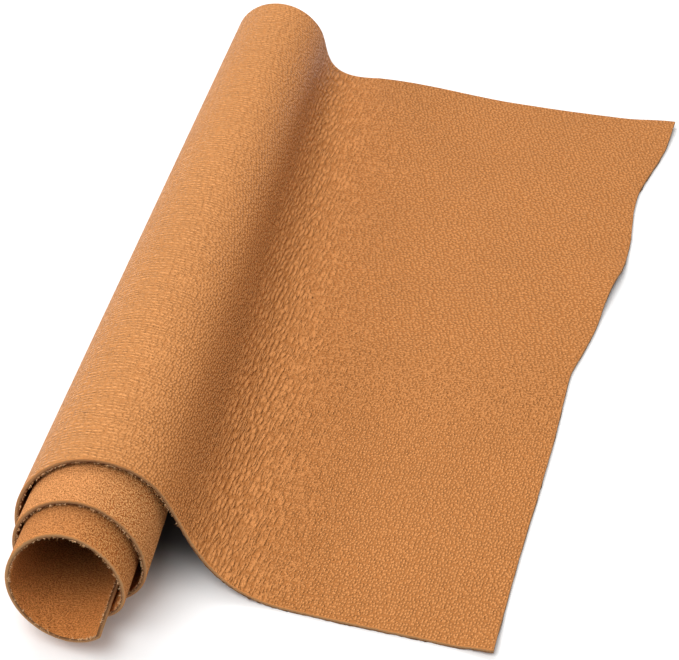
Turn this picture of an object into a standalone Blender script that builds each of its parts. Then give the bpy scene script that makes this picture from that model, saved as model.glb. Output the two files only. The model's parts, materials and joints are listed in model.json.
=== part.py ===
"""A tan leather hide, partly rolled up with its grain side out, its free part lying flat.

X runs to the right across the hide, Y away along the roll and Z up from the surface it lies on.
The origin is at the middle of the bottom of the whole hide. Driving dimensions are in millimetres
and degrees, and the mesh is in metres.
"""

from collections import namedtuple

import bmesh
import bpy
import numpy as np

MM = 0.001

# The sheet and the fineness of its faces
THICKNESS = 1.5
FLAT_COLUMNS = 8
RISE_COLUMNS = 14
ROLL_STEP = 6.0
ROWS = 24

# The roll: the radius of its grain side by angle, counted from its right side over its top, with
# the places along Y where the hide's near and far cut edges lie. The inner turns stick out in front.
Turn = namedtuple("Turn", "angle radius near far")
ROLL = (
    Turn(24, 23.7, -4.1, 290.1),
    Turn(90, 22.6, -5.6, 290.6),
    Turn(180, 21.8, -13.4, 290.6),
    Turn(270, 21.0, -22.2, 284.0),
    Turn(360, 20.3, -24.5, 281.0),
    Turn(450, 19.5, -21.4, 280.0),
    Turn(540, 18.8, -24.1, 277.0),
    Turn(630, 18.1, -31.5, 272.0),
    Turn(720, 17.3, -36.3, 268.0),
    Turn(810, 16.9, -33.4, 267.0),
    Turn(900, 16.1, -38.6, 264.0),
    Turn(990, 15.7, -44.5, 260.0),
    Turn(1044, 15.7, -47.2, 258.0),
)
# The roll is thinner at its far end: this much of its radius is lost for each millimetre of Y.
TAPER = 0.227 / 300
TAPER_MIDDLE = 130.0
HALF_TURN = 180.0
LOWEST_ANGLE = 270.0
# Past its lowest angle the sheet drifts off the outer turn's centre, by this much at its free end.
INNER_SHIFT = (-1.0, 0.5)
# The lowest turn is flattened by this much, which makes a flat spot to rest on.
FLAT_SPOT_DEPTH = 0.15

# The rise from the surface to the roll, at two places along Y: its foot, how far it stays low
# before it turns up, and how far it follows the roll's slope before it leaves it.
Rise = namedtuple("Rise", "y foot low_reach high_reach")
RISE_NEAR = Rise(-20, 66.1, 28.6, 17.9)
RISE_FAR = Rise(280, 45.9, 27.2, 9.9)

# The flat part's near and far cut edges, from its right edge, at -1, to the foot of the rise, at 0.
Cut = namedtuple("Cut", "place near far")
FLAT_CUTS = (
    Cut(-1.0, -22.0, 282.0),
    Cut(-0.66, -19.9, 284.0),
    Cut(-0.33, -18.0, 287.6),
    Cut(0.0, -15.7, 289.2),
)

# The flat part's natural, wavy right edge.
Edge = namedtuple("Edge", "y x")
RIGHT_EDGE = (
    Edge(-22, 132.1),
    Edge(0, 134.1),
    Edge(27, 136.9),
    Edge(49, 139.5),
    Edge(79, 142.7),
    Edge(99, 144.3),
    Edge(111, 145.3),
    Edge(125, 149.0),
    Edge(140, 152.8),
    Edge(155, 155.4),
    Edge(165, 157.6),
    Edge(176, 160.6),
    Edge(187, 162.0),
    Edge(199, 162.8),
    Edge(212, 162.8),
    Edge(227, 163.9),
    Edge(239, 166.9),
    Edge(250, 170.3),
    Edge(262, 173.7),
    Edge(282, 177.0),
)

# Places where the flat part stands a little off the surface.
Lift = namedtuple("Lift", "x y height reach_x reach_y")
LIFTS = (
    Lift(46, 289, 4.1, 60, 90),
    Lift(158, 166, 2.5, 20, 26),
    Lift(134, -22, 1.5, 16, 22),
    Lift(177, 283, 1.5, 22, 24),
)

COLOUR = (0.56, 0.235, 0.075, 1.0)
ROUGHNESS = 0.55


def clear_scene():
    for item in list(bpy.data.objects):
        bpy.data.objects.remove(item, do_unlink=True)


def smooth(xs, ys, x):
    """Read a curve through the points (xs, ys) that rises and falls only where they do."""
    xs, ys = np.asarray(xs, float), np.asarray(ys, float)
    step = np.diff(xs)
    slope = np.diff(ys) / step
    turning = slope[:-1] * slope[1:] <= 0
    safe = np.where(slope == 0, 1.0, slope)
    weight_a, weight_b = 2 * step[1:] + step[:-1], step[1:] + 2 * step[:-1]
    inner = (weight_a + weight_b) / (weight_a / safe[:-1] + weight_b / safe[1:])
    tangent = np.concatenate(([slope[0]], np.where(turning, 0.0, inner), [slope[-1]]))
    cell = int(np.clip(np.searchsorted(xs, x) - 1, 0, len(step) - 1))
    t = (x - xs[cell]) / step[cell]
    start = ys[cell] * (1 + 2 * t) + tangent[cell] * step[cell] * t
    end = ys[cell + 1] * (3 - 2 * t) + tangent[cell + 1] * step[cell] * (t - 1)
    return start * (1 - t) ** 2 + end * t**2


def roll_place(angle):
    """Half a turn of the roll counts as one step along the sheet, from 1 where the rise ends."""
    return 1 + (angle - ROLL[0].angle) / HALF_TURN


def roll_angle(place):
    return ROLL[0].angle + (place - 1) * HALF_TURN


def cut_edges(place):
    """Y of the near and the far cut edge at a place along the sheet."""
    places = [cut.place for cut in FLAT_CUTS] + [roll_place(turn.angle) for turn in ROLL]
    near = [cut.near for cut in FLAT_CUTS] + [turn.near for turn in ROLL]
    far = [cut.far for cut in FLAT_CUTS] + [turn.far for turn in ROLL]
    return smooth(places, near, place), smooth(places, far, place)


def taper(y):
    return 1 - TAPER * (y - TAPER_MIDDLE)


def roll_section(angle):
    """X and Z of the grain side at an angle, where the taper is 1."""
    angles, radii = [turn.angle for turn in ROLL], [turn.radius for turn in ROLL]
    radius = smooth(angles, radii, angle)
    centre_height = smooth(angles, radii, LOWEST_ANGLE) - FLAT_SPOT_DEPTH
    inward = np.clip((angle - LOWEST_ANGLE) / (angles[-1] - LOWEST_ANGLE), 0, 1)
    x = radius * np.cos(np.radians(angle)) + inward * INNER_SHIFT[0]
    z = centre_height + radius * np.sin(np.radians(angle)) + inward * INNER_SHIFT[1]
    return np.array((x, z))


def bump(distance):
    """A soft round hump: 1 at no distance, 0 from 1 on."""
    near = min(abs(distance), 1.0)
    return (1 - near**2) ** 2


def lift(x, y):
    return sum(
        spot.height * bump((x - spot.x) / spot.reach_x) * bump((y - spot.y) / spot.reach_y)
        for spot in LIFTS
    )


def rise_sizes(y):
    """Foot, low reach and high reach of the rise at y."""
    share = (y - RISE_NEAR.y) / (RISE_FAR.y - RISE_NEAR.y)
    return [a + (b - a) * share for a, b in zip(RISE_NEAR[1:], RISE_FAR[1:])]


def rise_point(t, y):
    """X and Z of the grain side on the rise, from its foot at t = 0 to the roll at t = 1."""
    foot, low_reach, high_reach = rise_sizes(y)
    top = roll_section(ROLL[0].angle)
    slope = roll_section(ROLL[0].angle + 1) - top
    slope /= np.linalg.norm(slope)
    p0 = np.array((foot, THICKNESS))
    p1 = p0 - (low_reach, 0)
    p3 = top * taper(y)
    p2 = p3 - slope * high_reach
    x, z = p0 * (1 - t) ** 3 + 3 * p1 * t * (1 - t) ** 2 + 3 * p2 * t**2 * (1 - t) + p3 * t**3
    return x, z + lift(x, y) * (1 - t) ** 2


def flat_point(place, y):
    foot = rise_sizes(y)[0]
    right = smooth([edge.y for edge in RIGHT_EDGE], [edge.x for edge in RIGHT_EDGE], y)
    x = foot + (right - foot) * -place
    return x, THICKNESS + lift(x, y)


def grain_point(place, across):
    """A point of the grain side: place runs along the sheet, across from the near to the far edge."""
    near, far = cut_edges(place)
    y = near + (far - near) * across
    if place < 0:
        x, z = flat_point(place, y)
    elif place < 1:
        x, z = rise_point(place, y)
    else:
        x, z = roll_section(roll_angle(place)) * taper(y)
    return x, y, max(z, 0.0)


def sheet_places():
    """The places of the columns, from the right edge to the free inner end."""
    flat = [i / FLAT_COLUMNS - 1 for i in range(FLAT_COLUMNS)]
    rise = [i / RISE_COLUMNS for i in range(RISE_COLUMNS)]
    steps = round((ROLL[-1].angle - ROLL[0].angle) / ROLL_STEP)
    roll = [roll_place(ROLL[0].angle + i * ROLL_STEP) for i in range(steps + 1)]
    return flat + rise + roll


def grain_mesh():
    """The grain side as one open grid of faces, seen from outside."""
    places = sheet_places()
    points = np.array([[grain_point(p, i / ROWS) for i in range(ROWS + 1)] for p in places])
    low, high = points.min(axis=(0, 1)), points.max(axis=(0, 1))
    middle = (low + high) / 2
    points -= (middle[0], middle[1], 0.0)
    bm = bmesh.new()
    grid = [[bm.verts.new(point * MM) for point in column] for column in points]
    for column, following in zip(grid, grid[1:]):
        for row in range(ROWS):
            bm.faces.new((column[row], column[row + 1], following[row + 1], following[row]))
    mesh = bpy.data.meshes.new("hide")
    bm.to_mesh(mesh)
    bm.free()
    return mesh


def leather():
    material = bpy.data.materials.new("leather")
    material.use_nodes = True
    shader = material.node_tree.nodes["Principled BSDF"]
    shader.inputs["Base Color"].default_value = COLOUR
    shader.inputs["Roughness"].default_value = ROUGHNESS
    shader.inputs["Metallic"].default_value = 0.0
    return material


def make_hide():
    mesh = grain_mesh()
    mesh.materials.append(leather())
    mesh.shade_smooth()
    hide = bpy.data.objects.new("hide", mesh)
    bpy.context.scene.collection.objects.link(hide)
    sheet = hide.modifiers.new("thickness", "SOLIDIFY")
    sheet.thickness = THICKNESS * MM
    sheet.offset = -1.0
    sheet.use_even_offset = True
    return hide


clear_scene()
make_hide()
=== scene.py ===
"""The looks of the leather hide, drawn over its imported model: the sheet with its pebbled grain
side, its suede flesh side and its cut edges, on a white surface in soft studio light.

The sheet is made from the same named sizes as the CAD source, with more columns and rows. Its
sizes are in millimetres and degrees until a mesh is made, which is in metres. The camera, the
lamps and the floor are in metres from the start.
"""

import json
from collections import namedtuple

import bpy
import numpy as np
from mathutils import Euler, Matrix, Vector

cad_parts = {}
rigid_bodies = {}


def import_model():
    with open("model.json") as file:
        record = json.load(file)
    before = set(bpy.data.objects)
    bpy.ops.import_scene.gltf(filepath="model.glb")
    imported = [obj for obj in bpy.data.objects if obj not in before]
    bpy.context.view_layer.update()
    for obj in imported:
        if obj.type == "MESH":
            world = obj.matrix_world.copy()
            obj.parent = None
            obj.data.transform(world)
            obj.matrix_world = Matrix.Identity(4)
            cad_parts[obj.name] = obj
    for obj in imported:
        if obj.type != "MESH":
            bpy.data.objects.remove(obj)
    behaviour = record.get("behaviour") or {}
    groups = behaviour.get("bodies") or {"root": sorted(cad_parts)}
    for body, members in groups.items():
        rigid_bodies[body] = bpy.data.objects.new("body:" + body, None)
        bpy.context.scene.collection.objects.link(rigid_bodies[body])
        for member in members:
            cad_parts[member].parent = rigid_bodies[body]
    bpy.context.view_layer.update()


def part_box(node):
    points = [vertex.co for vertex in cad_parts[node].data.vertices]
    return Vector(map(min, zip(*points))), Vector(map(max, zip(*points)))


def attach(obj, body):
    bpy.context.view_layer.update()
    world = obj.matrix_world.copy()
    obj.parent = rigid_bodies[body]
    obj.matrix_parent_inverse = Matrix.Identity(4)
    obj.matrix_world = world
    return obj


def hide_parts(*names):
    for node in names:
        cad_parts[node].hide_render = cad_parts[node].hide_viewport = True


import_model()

MM = 0.001
SEED = 7

# The sheet: its thickness and the width that it is cut to
THICKNESS = 1.5
CUT_WIDTH = 305.0

# The roll: the radius of its grain side by angle, counted from its right side over its top, with
# the places along Y where the hide's near and far cut edges lie. The inner turns stick out in front.
Turn = namedtuple("Turn", "angle radius near far")
ROLL = (
    Turn(24, 23.7, -4.1, 290.1),
    Turn(90, 22.6, -5.6, 290.6),
    Turn(180, 21.8, -13.4, 290.6),
    Turn(270, 21.0, -22.2, 284.0),
    Turn(360, 20.3, -24.5, 281.0),
    Turn(450, 19.5, -21.4, 280.0),
    Turn(540, 18.8, -24.1, 277.0),
    Turn(630, 18.1, -31.5, 272.0),
    Turn(720, 17.3, -36.3, 268.0),
    Turn(810, 16.9, -33.4, 267.0),
    Turn(900, 16.1, -38.6, 264.0),
    Turn(990, 15.7, -44.5, 260.0),
    Turn(1044, 15.7, -47.2, 258.0),
)
# The roll is thinner at its far end: this much of its radius is lost for each millimetre of Y.
TAPER = 0.227 / 300
TAPER_MIDDLE = 130.0
HALF_TURN = 180.0
LOWEST_ANGLE = 270.0
# Past its lowest angle the sheet drifts off the outer turn's centre, by this much at its free end.
INNER_SHIFT = (-1.0, 0.5)
FLAT_SPOT_DEPTH = 0.15

# The rise from the surface to the roll, at two places along Y: its foot, how far it stays low
# before it turns up, and how far it follows the roll's slope before it leaves it
Rise = namedtuple("Rise", "y foot low_reach high_reach")
RISE_NEAR = Rise(-20, 66.1, 28.6, 17.9)
RISE_FAR = Rise(280, 45.9, 27.2, 9.9)

# The flat part's near and far cut edges, from its right edge, at -1, to the foot of the rise, at 0
Cut = namedtuple("Cut", "place near far")
FLAT_CUTS = (
    Cut(-1.0, -22.0, 282.0),
    Cut(-0.66, -19.9, 284.0),
    Cut(-0.33, -18.0, 287.6),
    Cut(0.0, -15.7, 289.2),
)

# The flat part's natural, wavy right edge
Edge = namedtuple("Edge", "y x")
RIGHT_EDGE = (
    Edge(-22, 132.1),
    Edge(0, 134.1),
    Edge(27, 136.9),
    Edge(49, 139.5),
    Edge(79, 142.7),
    Edge(99, 144.3),
    Edge(111, 145.3),
    Edge(125, 149.0),
    Edge(140, 152.8),
    Edge(155, 155.4),
    Edge(165, 157.6),
    Edge(176, 160.6),
    Edge(187, 162.0),
    Edge(199, 162.8),
    Edge(212, 162.8),
    Edge(227, 163.9),
    Edge(239, 166.9),
    Edge(250, 170.3),
    Edge(262, 173.7),
    Edge(282, 177.0),
)

# Places where the flat part stands a little off the surface
Lift = namedtuple("Lift", "x y height reach_x reach_y")
LIFTS = (
    Lift(46, 289, 4.1, 60, 90),
    Lift(158, 166, 2.5, 20, 26),
    Lift(134, -22, 1.5, 16, 22),
    Lift(177, 283, 1.5, 22, 24),
)

# The fineness of the visible sheet, and of the line that its length is measured along
FLAT_STEP = 2.2
RISE_STEP = 0.8
ROLL_STEP = 1.05
ROWS = 88
LENGTH_POINTS = 6000

# The grid of points stops this far inside the cut edge. The flat part is about this long.
EDGE_INSET = 0.35
FLAT_LENGTH = 100.0
# The cut edge from the grain side down to the flesh side, in rings: how far each stands out from
# the grid, how deep it lies in the thickness and how ragged it is
Ring = namedtuple("Ring", "out depth ragged")
EDGE_RINGS = (
    Ring(0.19, 0.04, 0.01),
    Ring(0.31, 0.16, 0.02),
    Ring(0.35, 0.42, 0.04),
    Ring(0.32, 0.80, 0.07),
    Ring(0.35, 1.14, 0.10),
    Ring(0.31, 1.38, 0.14),
    Ring(0.13, 1.49, 0.14),
)

# The slots of the sheet's materials
GRAIN_SLOT = 0
NAP_SLOT = 1
EDGE_SLOT = 2
# Past this angle of the roll, at its foot where it can't be seen, the outside shows nap, not grain.
NAP_ANGLE = 276.0

# Places along the sheet between which the grain becomes the roll's, those where the creases of the
# hollow start, and those where they end
ROLL_START = (0.85, 1.5)
HOLLOW_START = (-0.45, 0.45)
HOLLOW_END = (0.5, 0.95)
# Between these angles of the roll its outside takes painted shade too, up to this share of what
# the inside does.
INNER_ANGLES = (560, 700)
INNER_SHARE = 0.6
# The nap takes painted glints and painted shade of grazing light on the roll's right side, more
# and more as the cosine of the angle rises.
GLINT_COSINES = (-0.1, 0.9)

# The flat map that the looks are baked on: this many millimetres to its side, with a gap between
# its parts and the flesh side this far to the right of the grain side
MAP_UNIT = 624.0
MAP_GAP = 0.006
FLESH_OFFSET = 0.5

# The loose fibres along the cut edge: from where along the sheet, to where along the free end in
# metres, and how many tufts a millimetre
FIBRE_START = 0.75
END_SEEN = -0.09
TUFTS_PER_MM = 2.0
# Each tuft: how far its root lies inside the flesh side and outside the edge, how far it leans out
# and down, and how many fibres it has: at least the first number and fewer than the second
ROOT_IN = (0.05, 0.35)
ROOT_OUT = 0.1
LEAN_OUT = (0.1, 1.0)
LEAN_DOWN = (0.3, 1.2)
TUFT_FIBRES = (2, 6)
# Each fibre: its length and width, how far it strays from its tuft, bends and twists, and where
# along it its two rings of corners lie and how wide they are
FIBRE_LENGTH = (0.3, 0.9)
FIBRE_WIDTH = (0.14, 0.30)
FIBRE_STRAY = 0.45
FIBRE_BEND = 0.25
FIBRE_TWIST = 0.3
FIBRE_RINGS = ((0.0, 1.0), (0.55, 0.7))
FIBRE_CORNERS = (0, 120, 240)

# The patterns of the grain, with their sizes along the sheet and across it
NEAR_PEBBLES = (1.05, 1.40)
FAR_PEBBLES = (1.4, 1.15)
FAR_TURN = 12.0
ROLL_PEBBLES = (2.3, 1.5)
ROLL_ROWS = 1.5
HOLLOW_PEBBLES = (1.7, 4.0)
HOLLOW_CREASES = (2.2, 13.0)
# The near pebbles give way to the far ones between these places along Y.
FAR_START = (40.0, 150.0)
# The creases in the hollow lean to the right by this much for each millimetre of Y.
CREASE_LEAN = 0.2
# The mean height of the grain between its creases, at 0, and the tops of its pebbles, at 1
MEAN_HEIGHT = 0.55
# The height of the grain's relief, and how many times that it is on the flat part, on the roll and
# in the hollow. Where the roll starts it is shallower, by a quarter of TURN_LOSS at most.
GRAIN_RELIEF = 0.7
FLAT_DEPTH = 0.66
ROLL_DEPTH = 1.15
HOLLOW_DEPTH = 1.05
TURN_LOSS = 1.6

# Painted shade inside the roll: the nap darkens between these places along Y, from its near end
# inwards.
INNER_REACH = (-45.0, 0.0)
INNER_LIGHT = (1.10, 0.36)

# Colours, as linear light
GRAIN_TOP = (0.562, 0.227, 0.070, 1.0)
# Painted shade in the creases between the pebbles, where the relief would shadow itself
GRAIN_CREASE_SHADE = (0.34, 0.112, 0.022, 1.0)
# On the roll: partly the paler stretched grain, partly a painted highlight of the roll's gloss
GRAIN_STRETCHED_AND_HIGHLIGHT = (0.64, 0.277, 0.093, 1.0)
GRAIN_SHINE = (1.0, 0.7, 0.45, 1.0)
NAP_LIGHT = (0.98, 0.445, 0.165, 1.0)
NAP_DARK = (0.50, 0.180, 0.050, 1.0)
# Painted glints and painted shade of light grazing the nap on the roll's right side
NAP_PAINTED_GLINT = (1.0, 0.53, 0.20, 1.0)
NAP_SHADE = (0.40, 0.100, 0.016, 1.0)
# Painted shade inside the roll: the nap's colour is scaled by this there
NAP_INNER_SHADE = (0.82, 0.71, 0.55)
EDGE_RIM = (0.50, 0.20, 0.06, 1.0)
EDGE_LIGHT = (0.36, 0.190, 0.080, 1.0)
EDGE_DARK = (0.16, 0.070, 0.028, 1.0)
FIBRE_LIGHT = (0.90, 0.60, 0.33, 1.0)
FIBRE_DARK = (0.60, 0.30, 0.12, 1.0)
FLOOR_WHITE = (0.9, 0.9, 0.9, 1.0)
# The floor's painted shadow where the roll hides it
FLOOR_PAINTED_SHADOW = (0.10, 0.10, 0.10, 1.0)
SKY_WHITE = (1.0, 1.0, 1.0, 1.0)

# The white floor, with a painted shadow where the roll hides it, so that little light comes back
# out of the gaps. In metres.
FLOOR_HALF = 3.0
SHADE_X = (-0.090, -0.035)
SHADE_Y = (-0.126, 0.150)
SHADE_SOFT = 0.014

# The sky's strength, as the sum of what it has along two axes, each from low to high
Glow = namedtuple("Glow", "axis start stop low high")
SKY = (
    Glow("Z", 0.0, 0.7, 0.10, 0.77),
    Glow("X", 1.0, -1.0, -0.08, 0.30),
)

# The round lamps, in metres and watts, and the point that they are aimed at
Lamp = namedtuple("Lamp", "name place width power")
LAMPS = (
    Lamp("key", (-0.27, 0.495, 0.70), 0.5, 3.0),
    Lamp("front", (-0.20, -0.45, 0.80), 0.6, 4.2),
)
LAMP_AIM = (0.0, 0.0, 0.02)

# The camera, in metres and degrees, with its lens and sensor in millimetres
CAMERA_PLACE = (0.07214, -0.50596, 0.44771)
CAMERA_TURN = (49.037, 0.0, 10.209)
CAMERA_LENS = 95.45
SENSOR_WIDTH = 36.0
CAMERA_SEES = (0.01, 20.0)


def smooth(xs, ys, x):
    """Read a curve through the points (xs, ys) that rises and falls only where they do."""
    xs, ys = np.asarray(xs, float), np.asarray(ys, float)
    step = np.diff(xs)
    slope = np.diff(ys) / step
    turning = slope[:-1] * slope[1:] <= 0
    safe = np.where(slope == 0, 1.0, slope)
    weight_a, weight_b = 2 * step[1:] + step[:-1], step[1:] + 2 * step[:-1]
    inner = (weight_a + weight_b) / (weight_a / safe[:-1] + weight_b / safe[1:])
    tangent = np.concatenate(([slope[0]], np.where(turning, 0.0, inner), [slope[-1]]))
    cell = np.clip(np.searchsorted(xs, x) - 1, 0, len(step) - 1)
    t = (x - xs[cell]) / step[cell]
    start = ys[cell] * (1 + 2 * t) + tangent[cell] * step[cell] * t
    end = ys[cell + 1] * (3 - 2 * t) + tangent[cell + 1] * step[cell] * (t - 1)
    return start * (1 - t) ** 2 + end * t**2


def ease(low, high, x):
    """A soft step from 0 at low to 1 at high."""
    t = np.clip((x - low) / (high - low), 0, 1)
    return t * t * (3 - 2 * t)


def unit(vectors):
    return vectors / np.linalg.norm(vectors, axis=-1, keepdims=True)


def roll_place(angle):
    """Half a turn of the roll counts as one step along the sheet, from 1 where the rise ends."""
    return 1 + (angle - ROLL[0].angle) / HALF_TURN


def roll_angle(place):
    return ROLL[0].angle + (place - 1) * HALF_TURN


def cut_edges(place):
    """Y of the near and the far cut edge at places along the sheet."""
    places = [cut.place for cut in FLAT_CUTS] + [roll_place(turn.angle) for turn in ROLL]
    near = [cut.near for cut in FLAT_CUTS] + [turn.near for turn in ROLL]
    far = [cut.far for cut in FLAT_CUTS] + [turn.far for turn in ROLL]
    return smooth(places, near, place), smooth(places, far, place)


def taper(y):
    return 1 - TAPER * (y - TAPER_MIDDLE)


def roll_section(angle):
    """X and Z of the grain side at angles, where the taper is 1."""
    angles, radii = [turn.angle for turn in ROLL], [turn.radius for turn in ROLL]
    radius = smooth(angles, radii, angle)
    centre_height = smooth(angles, radii, LOWEST_ANGLE) - FLAT_SPOT_DEPTH
    inward = np.clip((angle - LOWEST_ANGLE) / (angles[-1] - LOWEST_ANGLE), 0, 1)
    x = radius * np.cos(np.radians(angle)) + inward * INNER_SHIFT[0]
    z = centre_height + radius * np.sin(np.radians(angle)) + inward * INNER_SHIFT[1]
    return x, z


def hump(distance):
    """A soft round hump: 1 at no distance, 0 from 1 on."""
    near = np.minimum(np.abs(distance), 1.0)
    return (1 - near**2) ** 2


def lift(x, y):
    return sum(
        spot.height * hump((x - spot.x) / spot.reach_x) * hump((y - spot.y) / spot.reach_y)
        for spot in LIFTS
    )


def rise_sizes(y):
    """Foot, low reach and high reach of the rise at y."""
    share = (y - RISE_NEAR.y) / (RISE_FAR.y - RISE_NEAR.y)
    return [a + (b - a) * share for a, b in zip(RISE_NEAR[1:], RISE_FAR[1:])]


def rise_points(t, y):
    """X and Z of the grain side on the rise, from its foot at t = 0 to the roll at t = 1."""
    foot, low_reach, high_reach = rise_sizes(y)
    top_x, top_z = roll_section(ROLL[0].angle)
    next_x, next_z = roll_section(ROLL[0].angle + 1)
    length = np.hypot(next_x - top_x, next_z - top_z)
    slope_x, slope_z = (next_x - top_x) / length, (next_z - top_z) / length
    x3, z3 = top_x * taper(y), top_z * taper(y)
    x2, z2 = x3 - slope_x * high_reach, z3 - slope_z * high_reach
    a, b, c, d = (1 - t) ** 3, 3 * t * (1 - t) ** 2, 3 * t**2 * (1 - t), t**3
    x = a * foot + b * (foot - low_reach) + c * x2 + d * x3
    z = (a + b) * THICKNESS + c * z2 + d * z3
    return x, z + lift(x, y) * (1 - t) ** 2


def flat_points(share, y):
    """X and Z of the grain side on the flat part, from the foot of the rise to the right edge."""
    foot = rise_sizes(y)[0]
    right = smooth([edge.y for edge in RIGHT_EDGE], [edge.x for edge in RIGHT_EDGE], y)
    x = foot + (right - foot) * share
    return x, THICKNESS + lift(x, y)


def grain_points(place, across):
    """Points of the grain side: place runs along the sheet, across from the near to the far edge."""
    place, across = np.broadcast_arrays(place, across)
    near, far = cut_edges(place)
    y = near + (far - near) * across
    flat_x, flat_z = flat_points(-np.clip(place, -1, 0), y)
    rise_x, rise_z = rise_points(np.clip(place, 0, 1), y)
    roll_x, roll_z = roll_section(roll_angle(np.maximum(place, 1)))
    on_roll, on_flat = place >= 1, place < 0
    x = np.where(on_roll, roll_x * taper(y), np.where(on_flat, flat_x, rise_x))
    z = np.where(on_roll, roll_z * taper(y), np.where(on_flat, flat_z, rise_z))
    return np.stack((x, y, np.maximum(z, 0.0)), axis=-1)


def sheet_places():
    """The places of the columns, spread by the steps along the middle of the sheet."""
    last = roll_place(ROLL[-1].angle)
    fine = np.linspace(-1, last, LENGTH_POINTS)
    run = np.linalg.norm(np.diff(grain_points(fine, 0.5), axis=0), axis=1)
    length = np.concatenate(([0], np.cumsum(run)))
    parts = []
    for start, end, step in ((-1, 0, FLAT_STEP), (0, 1, RISE_STEP), (1, last, ROLL_STEP)):
        low, high = np.interp((start, end), fine, length)
        lengths = np.linspace(low, high, round((high - low) / step) + 1)[:-1]
        parts.append(np.interp(lengths, length, fine))
    places = np.concatenate(parts + [[last]])
    places[0] += EDGE_INSET / FLAT_LENGTH
    places[-1] -= EDGE_INSET / (ROLL[-1].radius * np.pi)
    return places


# The grain side as columns along the sheet and rows across it: its points, the directions off it,
# along it and across it at each, and the places of the columns and the shares of the rows
Grid = namedtuple("Grid", "points normal along across places shares")


def grain_grid():
    places = sheet_places()
    inset = EDGE_INSET / CUT_WIDTH
    shares = np.linspace(inset, 1 - inset, ROWS + 1)
    points = grain_points(places[:, None], shares[None, :])
    along_step = np.gradient(points, axis=0)
    across_step = np.gradient(points, axis=1)
    normal = unit(np.cross(across_step, along_step))
    return Grid(points, normal, unit(along_step), unit(across_step), places, shares)


def on_surface(points):
    """The points, with those that would lie below the surface brought up to it."""
    points[..., 2] = np.maximum(points[..., 2], 0.0)
    return points


def laid_flat(grid):
    """Where each grain point lies on the sheet laid flat: its distance along it from the foot of
    the rise, its Y, and no depth in the thickness."""
    run = np.linalg.norm(np.diff(grid.points, axis=0), axis=2)
    along = np.concatenate((np.zeros((1, len(grid.shares))), np.cumsum(run, axis=0)))
    along -= along[np.argmin(np.abs(grid.places))]
    return np.stack((along, grid.points[..., 1], np.zeros_like(along)), axis=-1)


def border(columns, rows):
    """The columns and the rows of the grid's border points, once round from the right edge's near
    corner: the near edge, the free inner end, the far edge and the right edge."""
    near = [(c, 0) for c in range(columns - 1)]
    end = [(columns - 1, r) for r in range(rows - 1)]
    far = [(c, rows - 1) for c in range(columns - 1, 0, -1)]
    right = [(0, r) for r in range(rows - 1, 0, -1)]
    return np.array(near + end + far + right).T


def outward(grid, c, r):
    """The directions out of the cut edge at the border's points."""
    columns, rows = grid.points.shape[:2]
    out = np.zeros((len(c), 3))
    out -= grid.along[c, r] * (c == 0)[:, None]
    out += grid.along[c, r] * (c == columns - 1)[:, None]
    out -= grid.across[c, r] * (r == 0)[:, None]
    out += grid.across[c, r] * (r == rows - 1)[:, None]
    return out


def edge_rings(grid, flat, c, r):
    """The points of the rings round the cut edge, and where they lie on the sheet laid flat."""
    rng = np.random.default_rng(SEED)
    out = outward(grid, c, r)
    rings, flat_rings = [], []
    for ring in EDGE_RINGS:
        ragged = rng.normal(0, 1, len(c)) * ring.ragged
        reach = (ring.out + ragged)[:, None]
        rings.append(on_surface(grid.points[c, r] + out * reach - grid.normal[c, r] * ring.depth))
        flat_rings.append(flat[c, r] + (0, 0, ring.depth))
    return rings, flat_rings


def sheet_faces(columns, rows, c, r):
    """The faces of the grain side, of the flesh side and of each band between two rings."""
    count = columns * rows
    index = np.arange(count).reshape(columns, rows)
    corners = (index[:-1, :-1], index[:-1, 1:], index[1:, 1:], index[1:, :-1])
    grain = np.stack(corners, axis=-1).reshape(-1, 4)
    flesh = grain[:, ::-1] + count
    loops = [index[c, r]]
    loops += [(2 * count + k * len(c)) + np.arange(len(c)) for k in range(len(EDGE_RINGS))]
    loops += [index[c, r] + count]
    bands = [
        np.stack((upper, np.roll(upper, -1), np.roll(lower, -1), lower), axis=-1)
        for upper, lower in zip(loops, loops[1:])
    ]
    return [grain, flesh] + bands


def face_slots(places, rows, parts):
    """The material slot of each face."""
    nap_column = np.argmax(places > roll_place(NAP_ANGLE))
    column_of = np.repeat(np.arange(len(places) - 1), rows - 1)
    grain = np.where(column_of < nap_column, GRAIN_SLOT, NAP_SLOT)
    flesh = np.full(len(parts[1]), NAP_SLOT)
    bands = [np.full(len(band), EDGE_SLOT) for band in parts[2:]]
    return np.concatenate([grain, flesh] + bands).astype(np.int32)


def seated(points):
    """The points in metres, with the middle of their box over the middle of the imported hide's."""
    low, high = points.min(axis=0), points.max(axis=0)
    box_low, box_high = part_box("hide")
    points = points * MM
    for axis in (0, 1):
        points[:, axis] += (box_low[axis] + box_high[axis] - (low[axis] + high[axis]) * MM) / 2
    return points


def keep(mesh, name, kind, values):
    """Keeps a value of each point with the mesh, where its materials can read it."""
    field = "value" if kind == "FLOAT" else "vector"
    store = mesh.attributes.new(name, kind, "POINT")
    store.data.foreach_set(field, values.astype(np.float32).ravel())


def bends(places, rows, total):
    """For each point, how far the grain is squeezed in the hollow, how far it is stretched over the
    roll, and how much of the painted shade inside the roll the nap takes."""
    hollow = ease(*HOLLOW_START, places) * (1 - ease(*HOLLOW_END, places))
    roll = ease(*ROLL_START, places)
    inner_start, inner_end = INNER_ANGLES
    inner = INNER_SHARE * ease(roll_place(inner_start), roll_place(inner_end), places)
    grain = np.repeat(np.stack((hollow, roll, inner), axis=-1), rows, axis=0)
    flesh = grain.copy()
    flesh[:, 2] = 1.0
    return np.concatenate((grain, flesh, np.zeros((total - 2 * len(grain), 3))))


def glint_shares(places, rows, total):
    """For each point, how much painted glint and shade of grazing light the nap takes."""
    right_side = ease(*GLINT_COSINES, np.cos(np.radians(roll_angle(places))))
    outside = np.repeat(right_side, rows)
    return np.concatenate((outside, np.zeros(total - len(outside))))


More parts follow.
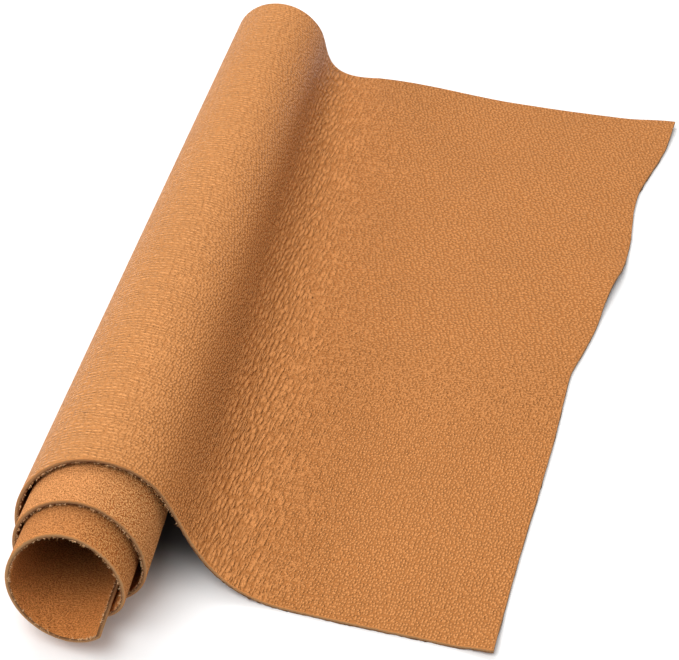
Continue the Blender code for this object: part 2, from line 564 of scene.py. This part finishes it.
def side_maps(along, shares):
    """The corners of the faces of the grain side and of the flesh side on the flat map."""
    columns, rows = along.shape
    middle = along[:, rows // 2]
    grid_v = MAP_GAP + (middle - middle[0]) / MAP_UNIT
    grid_u = MAP_GAP + shares * CUT_WIDTH / MAP_UNIT
    face_c = np.repeat(np.arange(columns - 1), rows - 1)
    face_r = np.tile(np.arange(rows - 1), columns - 1)
    grain = np.stack([
        np.stack((grid_u[face_r + dr], grid_v[face_c + dc]), axis=-1)
        for dc, dr in ((0, 0), (0, 1), (1, 1), (1, 0))
    ], axis=1)
    return [grain, grain[:, ::-1] + (FLESH_OFFSET, 0.0)]


def edge_maps(columns, rows, border_points, top_v):
    """The corners of the faces of the cut edge's bands, as one strip for each of its four sides."""
    step = np.linalg.norm(np.roll(border_points, -1, axis=0) - border_points, axis=1) / MM / MAP_UNIT
    length = np.concatenate(([0], np.cumsum(step)))
    starts = np.array([0, columns - 1, columns + rows - 2, 2 * columns + rows - 3])
    strip = np.searchsorted(starts, np.arange(len(border_points)), side="right") - 1
    left = MAP_GAP + length[:-1] - length[starts][strip]
    right = left + step
    floor = MAP_GAP + top_v + strip * 2 * MAP_GAP
    depths = [0.0] + [ring.depth for ring in EDGE_RINGS] + [THICKNESS]
    bands = []
    for upper, lower in zip(depths, depths[1:]):
        top = floor + (upper + EDGE_INSET * (upper > 0)) / MAP_UNIT
        low = floor + (lower + EDGE_INSET * (1 + (lower == THICKNESS))) / MAP_UNIT
        corners = ((left, top), (right, top), (right, low), (left, low))
        bands.append(np.stack([np.stack(corner, axis=-1) for corner in corners], axis=1))
    return bands


def lay_out(mesh, along, shares, border_points):
    """The flat map that the looks are baked on: the grain side and the flesh side next to each other
    and the four cut edges as strips beyond them, all at one scale."""
    sides = side_maps(along, shares)
    bands = edge_maps(*along.shape, border_points, sides[0][..., 1].max())
    layer = mesh.uv_layers.new(name="OFBake")
    layer.data.foreach_set("uv", np.concatenate(sides + bands).astype(np.float32).ravel())


def make_object(name, mesh):
    made = bpy.data.objects.new(name, mesh)
    bpy.context.scene.collection.objects.link(made)
    return made


def make_sheet(grid):
    """The closed sheet, and the points of its flesh side as columns and rows."""
    columns, rows = grid.points.shape[:2]
    c, r = border(columns, rows)
    flat = laid_flat(grid)
    flesh = on_surface(grid.points - grid.normal * THICKNESS)
    rings, flat_rings = edge_rings(grid, flat, c, r)
    points = seated(np.concatenate([grid.points.reshape(-1, 3), flesh.reshape(-1, 3)] + rings))
    flat_flesh = flat + (0, 0, THICKNESS)
    flat_all = np.concatenate([flat.reshape(-1, 3), flat_flesh.reshape(-1, 3)] + flat_rings)
    parts = sheet_faces(columns, rows, c, r)

    mesh = bpy.data.meshes.new("leather_sheet")
    mesh.from_pydata(points.tolist(), [], np.concatenate(parts).tolist())
    mesh.update()
    mesh.polygons.foreach_set("material_index", face_slots(grid.places, rows, parts))
    mesh.shade_smooth()
    keep(mesh, "sheet", "FLOAT_VECTOR", flat_all)
    keep(mesh, "bend", "FLOAT_VECTOR", bends(grid.places, rows, len(points)))
    keep(mesh, "painted_glint_share", "FLOAT", glint_shares(grid.places, rows, len(points)))
    lay_out(mesh, flat[..., 0], grid.shares, points[c * rows + r])

    count = columns * rows
    return make_object("leather_sheet", mesh), points[count:2 * count].reshape(columns, rows, 3)


def fibre_runs(grid, flesh):
    """Where the loose fibres grow, along the flesh side's rim at the near cut edge and at the free
    inner end: two neighbouring points, the direction out of the edge and the one off the grain."""
    columns, rows = flesh.shape[:2]
    near = [c for c in range(1, columns - 1) if grid.places[c] > FIBRE_START]
    end = [r for r in range(1, rows - 1) if flesh[-1, r, 1] < END_SEEN]
    runs = [(flesh[c, 0], flesh[c + 1, 0], -grid.across[c, 0], grid.normal[c, 0]) for c in near]
    runs += [(flesh[-1, r], flesh[-1, r + 1], grid.along[-1, r], grid.normal[-1, r]) for r in end]
    return runs


def make_fibres(grid, flesh):
    """The loose fibres, in tufts."""
    rng = np.random.default_rng(SEED + 1)
    points, faces = [], []
    for start, stop, out, normal in fibre_runs(grid, flesh):
        run = stop - start
        count = rng.poisson(np.linalg.norm(run) / MM * TUFTS_PER_MM)
        for place in rng.uniform(0, 1, count):
            root = start + run * place + normal * rng.uniform(*ROOT_IN) * MM + out * ROOT_OUT * MM
            lean = unit(out * rng.uniform(*LEAN_OUT) - normal * rng.uniform(*LEAN_DOWN))
            for _ in range(rng.integers(*TUFT_FIBRES)):
                add_fibre(points, faces, root, lean, unit(run), rng)
    mesh = bpy.data.meshes.new("fibres")
    mesh.from_pydata([tuple(point) for point in points], [], faces)
    mesh.update()
    mesh.shade_smooth()
    return make_object("flesh_fibres", mesh)


def add_fibre(points, faces, root, lean, side, rng):
    """One fibre: a thin bent spike of three sides."""
    direction = unit(lean + rng.normal(0, FIBRE_STRAY, 3))
    bend = rng.normal(0, FIBRE_BEND, 3)
    length = rng.uniform(*FIBRE_LENGTH) * MM
    width = rng.uniform(*FIBRE_WIDTH) * MM
    across = unit(np.cross(direction, side + rng.normal(0, FIBRE_TWIST, 3)))
    other = np.cross(direction, across)
    first = len(points)
    for share, size in FIBRE_RINGS:
        middle = root + (direction * share + bend * share**2) * length
        for turn in np.radians(FIBRE_CORNERS):
            points.append(middle + (across * np.cos(turn) + other * np.sin(turn)) * width * size / 2)
    points.append(root + (direction + bend) * length)
    faces.append((first + 2, first + 1, first))
    for k in range(3):
        after = (k + 1) % 3
        faces.append((first + k, first + after, first + 3 + after, first + 3 + k))
        faces.append((first + 3 + k, first + 3 + after, first + 6))


class Tree:
    """The nodes of one material."""

    def __init__(self, name):
        self.material = bpy.data.materials.new(name)
        self.material.use_nodes = True
        self.nodes = self.material.node_tree.nodes
        self.links = self.material.node_tree.links
        self.shader = self.nodes["Principled BSDF"]

    def feed(self, socket, value):
        if isinstance(value, bpy.types.NodeSocket):
            self.links.new(value, socket)
        elif value is not None:
            socket.default_value = value

    def finish(self, inputs):
        """Feeds the shader's own inputs and returns the material."""
        for name, value in inputs.items():
            self.feed(self.shader.inputs[name], value)
        return self.material

    def node(self, kind, inputs=(), **settings):
        made = self.nodes.new("ShaderNode" + kind)
        for name, value in settings.items():
            setattr(made, name, value)
        for name, value in dict(inputs).items():
            self.feed(made.inputs[name], value)
        return made

    def ordered(self, kind, operation, values):
        """The result of a node whose inputs are told apart only by their order."""
        made = self.node(kind, operation=operation)
        for socket, value in zip(made.inputs, values):
            self.feed(socket, value)
        return made.outputs[0]

    def math(self, operation, *values):
        return self.ordered("Math", operation, values)

    def vector(self, operation, *values):
        return self.ordered("VectorMath", operation, values)

    def attribute(self, name, output="Vector"):
        return self.node("Attribute", attribute_name=name).outputs[output]

    def here(self):
        return self.node("TexCoord").outputs["Object"]

    def part(self, vector, axis):
        return self.node("SeparateXYZ", {"Vector": vector}).outputs[axis]

    def noise(self, vector, scale, detail=2.0, roughness=0.5, output="Fac"):
        inputs = {"Vector": vector, "Scale": scale, "Detail": detail, "Roughness": roughness}
        return self.node("TexNoise", inputs).outputs[output]

    def spread(self, value, low, high, out_low=0.0, out_high=1.0):
        """Reads value from low to high as a soft step from out_low to out_high."""
        span = {"From Min": low, "From Max": high, "To Min": out_low, "To Max": out_high}
        made = self.node("MapRange", {"Value": value, **span}, interpolation_type="SMOOTHSTEP")
        return made.outputs["Result"]

    def mix(self, kind, data_type, factor, a, b):
        made = self.node("Mix", data_type=data_type)
        for name, value in (("Factor_Float", factor), ("A_" + kind, a), ("B_" + kind, b)):
            self.feed(next(s for s in made.inputs if s.identifier == name), value)
        return next(s for s in made.outputs if s.identifier == "Result_" + kind)

    def blend(self, factor, a, b):
        return self.mix("Float", "FLOAT", factor, a, b)

    def colour(self, factor, a, b):
        return self.mix("Color", "RGBA", factor, a, b)

    def scaled(self, colour, factor):
        made = self.node("VectorMath", {"Vector": colour, "Scale": factor}, operation="SCALE")
        return made.outputs["Vector"]

    def mixed(self, a, b, share):
        """The share of b added to the rest of a."""
        return self.math("MULTIPLY_ADD", b, share, self.math("MULTIPLY", a, 1 - share))

    def crossed(self, share, a, b):
        """From a to b as the share goes from 0 to 1, with the relief as strong on the way there."""
        rest = self.math("SUBTRACT", 1.0, share)
        squares = self.math("MULTIPLY_ADD", share, share, self.math("MULTIPLY", rest, rest))
        around = self.math("SUBTRACT", self.blend(share, a, b), MEAN_HEIGHT)
        return self.math("ADD", self.math("DIVIDE", around, self.math("SQRT", squares)), MEAN_HEIGHT)

    def bump(self, height, distance, normal=None, strength=1.0):
        """Relief of this height in millimetres, on top of that of the normal."""
        inputs = {"Height": height, "Distance": distance * MM, "Strength": strength, "Normal": normal}
        return self.node("Bump", inputs).outputs[0]

    def turned(self, place, angle):
        inputs = {"Vector": place, "Angle": np.radians(angle)}
        return self.node("VectorRotate", inputs, rotation_type="Z_AXIS").outputs["Vector"]

    def cells(self, place, size, wander):
        """The place counted in cells of this size, pushed about a little so that no two are alike."""
        cells = self.vector("MULTIPLY", place, (1 / size[0], 1 / size[1], 0.0))
        drift = self.noise(cells, 0.5, 2.0, 0.6, "Color")
        drift = self.vector("SUBTRACT", drift, (0.5, 0.5, 0.5))
        drift = self.vector("MULTIPLY", drift, (wander, wander, 0.0))
        return self.vector("ADD", cells, drift)

    def pebbles(self, place, size, gap=0.64, wander=0.8, random=0.6):
        """Rounded pebbles of this size, 1 on top and 0 between them."""
        cells = self.cells(place, size, wander)
        inputs = {"Vector": cells, "Scale": 1.0, "Smoothness": 0.1, "Randomness": random}
        made = self.node("TexVoronoi", inputs, feature="SMOOTH_F1", voronoi_dimensions="2D")
        return self.spread(made.outputs["Distance"], gap, 0.12)

    def rows(self, place, size, wander):
        """Long ridges along X this far apart, which sway a little, 0 between them."""
        drift = self.noise(self.vector("MULTIPLY", place, (0.10, 0.20, 0.0)), 1.0, 2.0)
        count = self.math("MULTIPLY", self.part(place, "Y"), 1 / size)
        turns = self.math("MULTIPLY_ADD", drift, wander, count)
        return self.math("ABSOLUTE", self.math("SINE", self.math("MULTIPLY", turns, np.pi)))

    def wrinkles(self, place, size, width):
        """Winding creases about this far apart, 0 along each of them."""
        cells = self.vector("MULTIPLY", place, (1 / size[0], 1 / size[1], 0.0))
        line = self.math("ABSOLUTE", self.math("SUBTRACT", self.noise(cells, 1.0, 1.0), 0.5))
        return self.spread(line, 0.0, width)


def grain_height(tree, sheet, hollow, roll):
    """The height of the grain: even pebbles on the flat part, wide ones in rows round the roll, and
    long ones between winding creases in the hollow."""
    y = tree.part(sheet, "Y")
    lean = tree.node("CombineXYZ", {"X": tree.math("MULTIPLY", y, CREASE_LEAN)}).outputs[0]
    leaning = tree.vector("ADD", sheet, lean)
    near = tree.pebbles(leaning, NEAR_PEBBLES, wander=0.4, random=0.65)
    far = tree.pebbles(tree.turned(sheet, FAR_TURN), FAR_PEBBLES, wander=0.4, random=0.65)
    flat = tree.crossed(tree.spread(y, *FAR_START), near, far)

    rows = tree.spread(tree.rows(sheet, ROLL_ROWS, wander=2.0), 0.0, 1.0, 0.15, 1.0)
    stretched = tree.math("MULTIPLY", tree.pebbles(sheet, ROLL_PEBBLES, gap=0.8), rows)

    creases = tree.spread(tree.wrinkles(leaning, HOLLOW_CREASES, width=0.08), 0.0, 1.0, 0.30, 1.0)
    squeezed = tree.math("MULTIPLY", tree.pebbles(leaning, HOLLOW_PEBBLES, gap=0.74), creases)
    squeezed = tree.mixed(squeezed, near, 0.15)
    return tree.crossed(hollow, tree.crossed(roll, flat, stretched), squeezed)


def grain_colour(tree, height, fine, cloud, hollow, roll):
    """Painted shade between the pebbles and painted glints on their tops; lighter on the roll,
    partly stretched grain and partly a painted highlight; with soft patches.
    """
    # Lighter on the roll: partly the paler stretched grain, partly a painted highlight of its gloss
    top = tree.colour(roll, GRAIN_TOP, GRAIN_STRETCHED_AND_HIGHLIGHT)
    # Painted shade between the pebbles, weaker on the roll
    rise = tree.spread(height, 0.0, 0.5, 0.38, 1.0)
    colour = tree.colour(tree.blend(roll, rise, tree.mixed(rise, 1.0, 0.4)), GRAIN_CREASE_SHADE, top)
    shade = tree.spread(cloud, 0.3, 0.7, 0.98, 1.02)
    shade = tree.math("MULTIPLY", shade, tree.spread(fine, 0.3, 0.7, 0.92, 1.08))
    # Painted glints: the tops of the pebbles lighter, as if they caught the light
    shade = tree.math("MULTIPLY", shade, tree.spread(height, 0.5, 1.0, 0.97, 1.15))
    shade = tree.math("MULTIPLY", shade, tree.blend(hollow, 1.015, 1.01))
    return tree.scaled(colour, shade)


def grain_relief(tree, height, fine, cloud, hollow, roll):
    half_way = tree.math("MULTIPLY", roll, tree.math("SUBTRACT", 1.0, roll))
    outside = tree.math("MULTIPLY_ADD", half_way, -TURN_LOSS, tree.blend(roll, FLAT_DEPTH, ROLL_DEPTH))
    depth = tree.blend(hollow, outside, HOLLOW_DEPTH)
    relief = tree.bump(cloud, 1.0, strength=0.5)
    relief = tree.bump(tree.math("MULTIPLY", height, depth), GRAIN_RELIEF, relief)
    return tree.bump(fine, 0.2, relief)


def grain_material():
    tree = Tree("grain_side")
    sheet = tree.attribute("sheet")
    bend = tree.attribute("bend")
    hollow, roll = tree.part(bend, "X"), tree.part(bend, "Y")
    height = grain_height(tree, sheet, hollow, roll)
    fine = tree.noise(sheet, 1.7, 1.0, 0.5)
    cloud = tree.noise(sheet, 0.03, 3.0, 0.55)
    return tree.finish({
        "Base Color": grain_colour(tree, height, fine, cloud, hollow, roll),
        "Roughness": tree.spread(height, 0.0, 1.0, 0.62, 0.40),
        "Specular IOR Level": 0.22,
        "Specular Tint": GRAIN_SHINE,
        "Normal": grain_relief(tree, height, fine, cloud, hollow, roll),
    })


def nap_material():
    """Suede: fine specks of light and dark, with painted glints and painted shade of grazing light
    on the roll's right side and painted shade deep inside the roll.
    """
    tree = Tree("flesh_side")
    sheet = tree.attribute("sheet")
    fine = tree.noise(sheet, 2.0, 1.0, 0.4)
    tuft = tree.noise(sheet, 1.2, 3.0, 0.75)
    clump = tree.noise(sheet, 0.25, 3.0, 0.6)
    light = tree.mixed(tree.spread(fine, 0.40, 0.60), tree.spread(tuft, 0.40, 0.62), 0.35)
    # Painted glints and painted shade of grazing light, used on the roll's right side
    specks = tree.mixed(tree.spread(fine, 0.46, 0.58), tree.spread(tuft, 0.46, 0.58), 0.3)
    plain_nap = tree.colour(light, NAP_DARK, NAP_LIGHT)
    glinting_nap = tree.colour(specks, NAP_SHADE, NAP_PAINTED_GLINT)
    colour = tree.colour(tree.attribute("painted_glint_share", "Fac"), plain_nap, glinting_nap)
    # Painted shade inside the roll, darker the further it lies from the near end
    reach = tree.spread(tree.part(sheet, "Y"), *INNER_REACH, *INNER_LIGHT)
    deep = tree.scaled(tree.vector("MULTIPLY", colour, NAP_INNER_SHADE), reach)
    relief = tree.bump(clump, 0.4)
    relief = tree.bump(tuft, 0.9, relief)
    relief = tree.bump(fine, 0.6, relief)
    return tree.finish({
        "Base Color": tree.colour(tree.part(tree.attribute("bend"), "Z"), colour, deep),
        "Roughness": 0.95,
        "Specular IOR Level": 0.1,
        "Normal": relief,
    })


def edge_material():
    """The cut edge: tan at its rim and browner down to the flesh side."""
    tree = Tree("cut_edge")
    sheet = tree.attribute("sheet")
    fine = tree.noise(sheet, 1.6, 4.0, 0.7)
    stray = tree.math("SUBTRACT", fine, 0.5)
    depth = tree.math("MULTIPLY_ADD", stray, 1.2, tree.part(sheet, "Z"))
    colour = tree.colour(tree.spread(depth, 0.05, 0.35), EDGE_RIM, EDGE_LIGHT)
    return tree.finish({
        "Base Color": tree.colour(tree.spread(depth, 0.5, 1.35), colour, EDGE_DARK),
        "Roughness": 0.9,
        "Specular IOR Level": 0.2,
        "Normal": tree.bump(fine, 0.3),
    })


def fibre_material():
    tree = Tree("loose_fibres")
    shade = tree.noise(tree.here(), 900.0, 1.0)
    return tree.finish({
        "Base Color": tree.colour(tree.spread(shade, 0.35, 0.65), FIBRE_DARK, FIBRE_LIGHT),
        "Roughness": 0.9,
        "Specular IOR Level": 0.2,
    })


def floor_material():
    """White, with a painted shadow where the roll hides it."""
    tree = Tree("floor_white")
    place = tree.here()
    # Painted shadow on the floor where the roll hides it
    shadow_share = 1.0
    for axis, (start, end) in (("X", SHADE_X), ("Y", SHADE_Y)):
        value = tree.part(place, axis)
        after_start = tree.spread(value, start - SHADE_SOFT, start + SHADE_SOFT)
        before_end = tree.spread(value, end + SHADE_SOFT, end - SHADE_SOFT)
        shadow_share = tree.math("MULTIPLY", shadow_share, tree.math("MULTIPLY", after_start, before_end))
    return tree.finish({
        "Base Color": tree.colour(shadow_share, FLOOR_WHITE, FLOOR_PAINTED_SHADOW),
        "Roughness": 0.9,
        "Specular IOR Level": 0.1,
    })


def make_floor():
    mesh = bpy.data.meshes.new("floor")
    corners = [(x * FLOOR_HALF, y * FLOOR_HALF, 0) for x, y in ((-1, -1), (1, -1), (1, 1), (-1, 1))]
    mesh.from_pydata(corners, [], [(0, 1, 2, 3)])
    mesh.materials.append(floor_material())
    floor = make_object("floor", mesh)


def make_lamp(lamp):
    data = bpy.data.lights.new(lamp.name, "AREA")
    data.shape = "DISK"
    data.size = lamp.width
    data.energy = lamp.power
    light = make_object(lamp.name, data)
    light.location = lamp.place
    aim = np.array(LAMP_AIM) - np.array(lamp.place)
    light.rotation_euler = Vector(aim).to_track_quat("-Z", "Y").to_euler()


def make_sky():
    world = bpy.data.worlds.new("studio")
    world.use_nodes = True
    nodes, links = world.node_tree.nodes, world.node_tree.links
    back = nodes["Background"]
    back.inputs["Color"].default_value = SKY_WHITE
    ray = nodes.new("ShaderNodeTexCoord")
    split = nodes.new("ShaderNodeSeparateXYZ")
    links.new(ray.outputs["Generated"], split.inputs[0])
    total = nodes.new("ShaderNodeMath")
    for glow, socket in zip(SKY, total.inputs):
        rise = nodes.new("ShaderNodeMapRange")
        for name, value in zip(("From Min", "From Max", "To Min", "To Max"), glow[1:]):
            rise.inputs[name].default_value = value
        links.new(split.outputs[glow.axis], rise.inputs["Value"])
        links.new(rise.outputs["Result"], socket)
    links.new(total.outputs[0], back.inputs["Strength"])
    bpy.context.scene.world = world


def set_view():
    view = bpy.context.scene.view_settings
    view.view_transform = "Standard"
    view.look = "None"
    view.exposure = 0.0
    view.gamma = 1.0


def make_camera():
    data = bpy.data.cameras.new("camera")
    data.lens = CAMERA_LENS
    data.sensor_width = SENSOR_WIDTH
    data.clip_start, data.clip_end = CAMERA_SEES
    camera = make_object("camera", data)
    camera.location = CAMERA_PLACE
    camera.rotation_euler = Euler(np.radians(CAMERA_TURN))
    bpy.context.scene.camera = camera


# Blender's own camera, lamp and cube
for item in list(bpy.data.objects):
    if item.type in ("CAMERA", "LIGHT") or item.name == "Cube":
        bpy.data.objects.remove(item, do_unlink=True)

make_camera()
make_sky()
for lamp in LAMPS:
    make_lamp(lamp)
set_view()
make_floor()

grid = grain_grid()
hide, flesh = make_sheet(grid)
for material in (grain_material(), nap_material(), edge_material()):
    hide.data.materials.append(material)
fibres = make_fibres(grid, flesh)
fibres.data.materials.append(fibre_material())
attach(hide, "root")
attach(fibres, "root")
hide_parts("hide")
